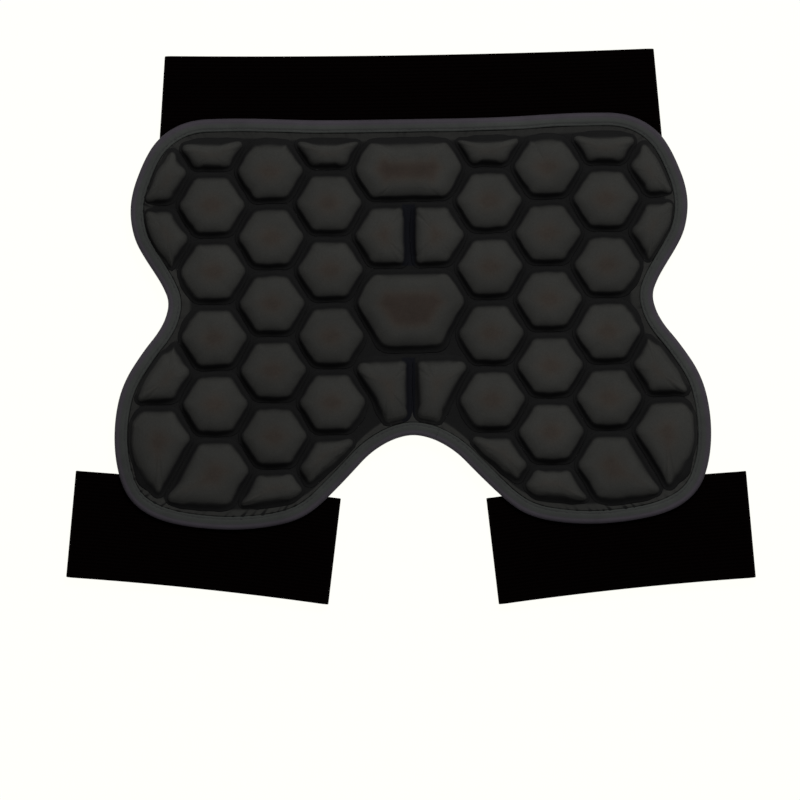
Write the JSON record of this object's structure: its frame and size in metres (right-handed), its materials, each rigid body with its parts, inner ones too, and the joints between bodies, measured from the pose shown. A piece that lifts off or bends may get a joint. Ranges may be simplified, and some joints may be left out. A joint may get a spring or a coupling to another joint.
{
  "type": "tailbone protector",
  "caption": "Butterfly-shaped padded tailbone guard with raised honeycomb foam pads, a taped edge, and wide elastic loops for the waist and both thighs, lying flat.",
  "frame": {"origin": "middle of the footprint, on the surface that the protector lies on", "axes": "+X to the right in the picture, across the wearer; +Y up in the picture, from the thigh loops to the waist loop; +Z out of the padded face"},
  "size_m": [0.4624, 0.3744, 0.0238],
  "materials": {
    "cover_fabric": "matte knitted cover moulded over foam, dark warm grey",
    "binding_tape": "satin folded tape, dark grey",
    "elastic_webbing": "matte ribbed elastic, black"
  },
  "bodies": {
    "root": {"edge_binding": "binding_tape", "left_thigh_loop": "elastic_webbing", "pad_left_column0_level3": "cover_fabric", "pad_left_column0_level7": "cover_fabric", "pad_left_column1_level0": "cover_fabric", "pad_left_column1_level10": "cover_fabric", "pad_left_column1_level2": "cover_fabric", "pad_left_column1_level4": "cover_fabric", "pad_left_column1_level6": "cover_fabric", "pad_left_column1_level8": "cover_fabric", "pad_left_column2_level1": "cover_fabric", "pad_left_column2_level11": "cover_fabric", "pad_left_column2_level3": "cover_fabric", "pad_left_column2_level5": "cover_fabric", "pad_left_column2_level7": "cover_fabric", "pad_left_column2_level9": "cover_fabric", "pad_left_column3_level0": "cover_fabric", "pad_left_column3_level10": "cover_fabric", "pad_left_column3_level2": "cover_fabric", "pad_left_column3_level4": "cover_fabric", "pad_left_column3_level6": "cover_fabric", "pad_left_column3_level8": "cover_fabric", "pad_left_column4_level1": "cover_fabric", "pad_left_column4_level3": "cover_fabric", "pad_left_column4_level7": "cover_fabric", "pad_left_column4_level9": "cover_fabric", "pad_middle_column0_level1": "cover_fabric", "pad_middle_column0_level5": "cover_fabric", "pad_right_column0_level3": "cover_fabric", "pad_right_column0_level7": "cover_fabric", "pad_right_column1_level0": "cover_fabric", "pad_right_column1_level10": "cover_fabric", "pad_right_column1_level2": "cover_fabric", "pad_right_column1_level4": "cover_fabric", "pad_right_column1_level6": "cover_fabric", "pad_right_column1_level8": "cover_fabric", "pad_right_column2_level1": "cover_fabric", "pad_right_column2_level11": "cover_fabric", "pad_right_column2_level3": "cover_fabric", "pad_right_column2_level5": "cover_fabric", "pad_right_column2_level7": "cover_fabric", "pad_right_column2_level9": "cover_fabric", "pad_right_column3_level0": "cover_fabric", "pad_right_column3_level10": "cover_fabric", "pad_right_column3_level2": "cover_fabric", "pad_right_column3_level4": "cover_fabric", "pad_right_column3_level6": "cover_fabric", "pad_right_column3_level8": "cover_fabric", "pad_right_column4_level1": "cover_fabric", "pad_right_column4_level3": "cover_fabric", "pad_right_column4_level7": "cover_fabric", "pad_right_column4_level9": "cover_fabric", "padded_panel": "cover_fabric", "right_thigh_loop": "elastic_webbing", "waist_loop": "elastic_webbing"}
  },
  "joints": []
}
